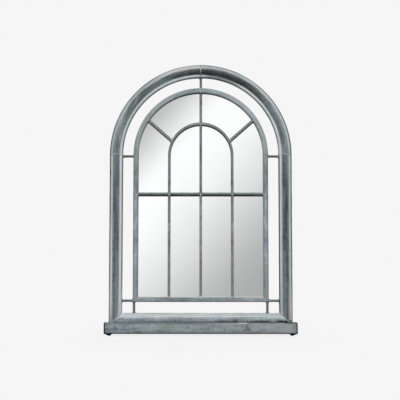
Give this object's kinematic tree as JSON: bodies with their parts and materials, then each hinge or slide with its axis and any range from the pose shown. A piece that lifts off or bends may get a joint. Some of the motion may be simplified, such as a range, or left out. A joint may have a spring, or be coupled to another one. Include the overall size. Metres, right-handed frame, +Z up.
{
  "type": "arched mirror",
  "caption": "Arched window-style wall mirror: pressed zinc-finish steel frame on a box sill, inner frame with glazing bars, clipped-in back panel, keyhole hanging plates.",
  "frame": {"origin": "on the wall plane, at the centre of the arch, midway between the two keyholes", "axes": "+X to the right seen from the front, +Y into the wall, +Z up"},
  "size_m": [0.775, 0.08, 1.109],
  "materials": {
    "zinc_moulding": "aged zinc patina, satin",
    "zinc_bars": "aged zinc patina, satin",
    "zinc_sill": "aged zinc patina, satin",
    "mirror": "silvered float glass",
    "felt": "needled felt",
    "hardboard": "bare hardboard",
    "clip_steel": "zinc plated",
    "black_cap": "moulded, matt",
    "black_foot": "matt"
  },
  "bodies": {
    "frame": {"outer_bottom_rail": "zinc_moulding", "inner_arch": "zinc_bars", "inner_bottom_rail": "zinc_bars", "spacer_top": "zinc_bars", "centre_bar": "zinc_bars", "rim_arch": "zinc_bars", "rim_base": "zinc_bars", "mirror_glass": "mirror", "backing_felt": "felt", "back_panel": "hardboard", "sill": "zinc_sill", "clip_posts": "clip_steel", "clip_screws": "clip_steel", "outer_jamb_left": "zinc_moulding", "outer_jamb_right": "zinc_moulding", "outer_arch_left": "zinc_moulding", "outer_arch_right": "zinc_moulding", "inner_jamb_left": "zinc_bars", "inner_jamb_right": "zinc_bars", "hoop_left": "zinc_bars", "hoop_right": "zinc_bars", "ray_left": "zinc_bars", "ray_right": "zinc_bars", "crossbar_outer_left": "zinc_bars", "crossbar_outer_right": "zinc_bars", "crossbar_inner_left": "zinc_bars", "crossbar_inner_right": "zinc_bars", "spacer_spring_left": "zinc_bars", "spacer_spring_right": "zinc_bars", "spacer_corner_left": "zinc_bars", "spacer_corner_right": "zinc_bars", "spacer_base_left": "zinc_bars", "spacer_base_right": "zinc_bars", "keyhole_plate_left": "zinc_bars", "keyhole_plate_right": "zinc_bars", "sill_end_cap_left": "black_cap", "sill_end_cap_right": "black_cap", "sill_foot_left": "black_foot", "sill_foot_right": "black_foot"},
    "clip_arch_left": {"turn_clip_arch_left": "clip_steel"},
    "clip_arch_right": {"turn_clip_arch_right": "clip_steel"},
    "clip_side_left": {"turn_clip_side_left": "clip_steel"},
    "clip_side_right": {"turn_clip_side_right": "clip_steel"},
    "clip_base_left": {"turn_clip_base_left": "clip_steel"},
    "clip_base_right": {"turn_clip_base_right": "clip_steel"}
  },
  "joints": [
    {"name": "arch_left_turn", "type": "hinge", "parent": "frame", "child": "clip_arch_left", "pos_m": [-0.19339, -0.004, 0.19339], "axis": [0, 1, 0], "continuous": true},
    {"name": "arch_right_turn", "type": "hinge", "parent": "frame", "child": "clip_arch_right", "pos_m": [0.19339, -0.004, 0.19339], "axis": [0, 1, 0], "continuous": true},
    {"name": "side_left_turn", "type": "hinge", "parent": "frame", "child": "clip_side_left", "pos_m": [-0.2735, -0.004, -0.3], "axis": [0, 1, 0], "continuous": true},
    {"name": "side_right_turn", "type": "hinge", "parent": "frame", "child": "clip_side_right", "pos_m": [0.2735, -0.004, -0.3], "axis": [0, 1, 0], "continuous": true},
    {"name": "base_left_turn", "type": "hinge", "parent": "frame", "child": "clip_base_left", "pos_m": [-0.15, -0.004, -0.5995], "axis": [0, 1, 0], "continuous": true},
    {"name": "base_right_turn", "type": "hinge", "parent": "frame", "child": "clip_base_right", "pos_m": [0.15, -0.004, -0.5995], "axis": [0, 1, 0], "continuous": true}
  ]
}
